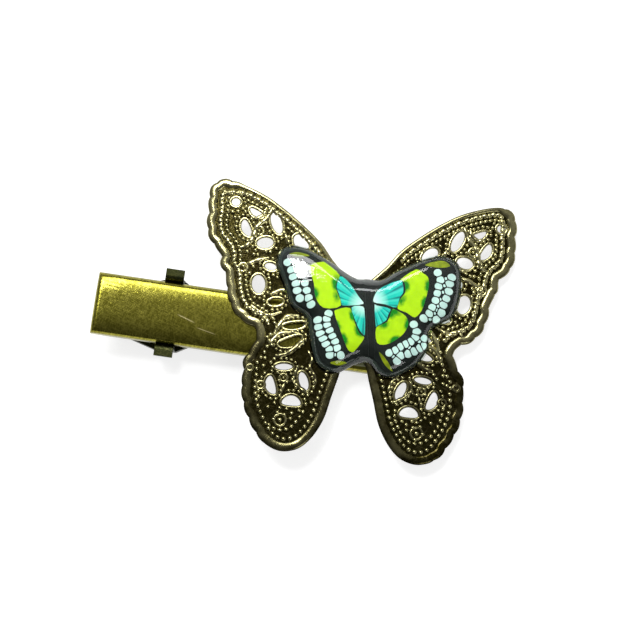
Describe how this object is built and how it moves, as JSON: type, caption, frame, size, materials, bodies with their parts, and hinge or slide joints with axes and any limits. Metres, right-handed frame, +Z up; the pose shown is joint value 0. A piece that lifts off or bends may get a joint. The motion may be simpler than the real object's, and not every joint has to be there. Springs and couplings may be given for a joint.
{
  "type": "butterfly hair clip",
  "caption": "Spring pinch hair clip in antique bronze, with a pierced filigree butterfly and a domed clay butterfly under clear resin on its flat arm.",
  "frame": {"origin": "on the table that the clip lies on, under the middle of its overall outline", "axes": "+X along the clip from the thumb end to the nose, +Y across the clip towards the upper wings, +Z up from the table; the clip lies on the end of its lever and on its nose"},
  "size_m": [0.0525, 0.0352, 0.0074],
  "materials": {
    "antique_bronze": "brushed antique bronze plating, darkened in the edges",
    "dark_bronze": "dark antique plating, satin",
    "filigree_bronze": "stamped antique bronze with bright high points",
    "spring_steel": "drawn wire",
    "glue": "cured epoxy",
    "black_clay": "baked polymer clay under resin",
    "lime_clay": "baked polymer clay under resin",
    "turquoise_clay": "baked polymer clay under resin",
    "white_clay": "baked polymer clay under resin",
    "olive_clay": "baked polymer clay under resin",
    "clear_resin": "clear gloss resin"
  },
  "bodies": {
    "upper_body": {"upper_arm": "antique_bronze", "torsion_spring": "spring_steel", "adhesive_pad": "glue", "filigree_butterfly": "filigree_bronze", "clay_backing": "black_clay", "clay_body": "black_clay", "wing_left_upper": "black_clay", "wing_left_lower": "black_clay", "wing_right_upper": "black_clay", "wing_right_lower": "black_clay", "lime_left_upper": "lime_clay", "lime_left_lower": "lime_clay", "lime_right_upper": "lime_clay", "lime_right_lower": "lime_clay", "turquoise_left_upper": "turquoise_clay", "turquoise_left_lower": "turquoise_clay", "turquoise_right_upper": "turquoise_clay", "turquoise_right_lower": "turquoise_clay", "cells_left_upper": "white_clay", "cells_left_lower": "white_clay", "cells_right_upper": "white_clay", "cells_right_lower": "white_clay", "streak_left_upper": "olive_clay", "streak_left_lower": "olive_clay", "streak_right_upper": "olive_clay", "streak_right_lower": "olive_clay", "resin_coat": "clear_resin"},
    "lower_body": {"lower_arm": "dark_bronze", "hinge_pin": "dark_bronze"}
  },
  "joints": [
    {"name": "jaw_hinge", "type": "hinge", "parent": "upper_body", "child": "lower_body", "pos_m": [-0.01663, -0.00196, 0.00294], "axis": [0, 1, 0], "range_deg": [0, 26], "stiffness_Nm_per_rad": 0.1, "springref_deg": -34.38, "deforming": ["torsion_spring"]}
  ]
}
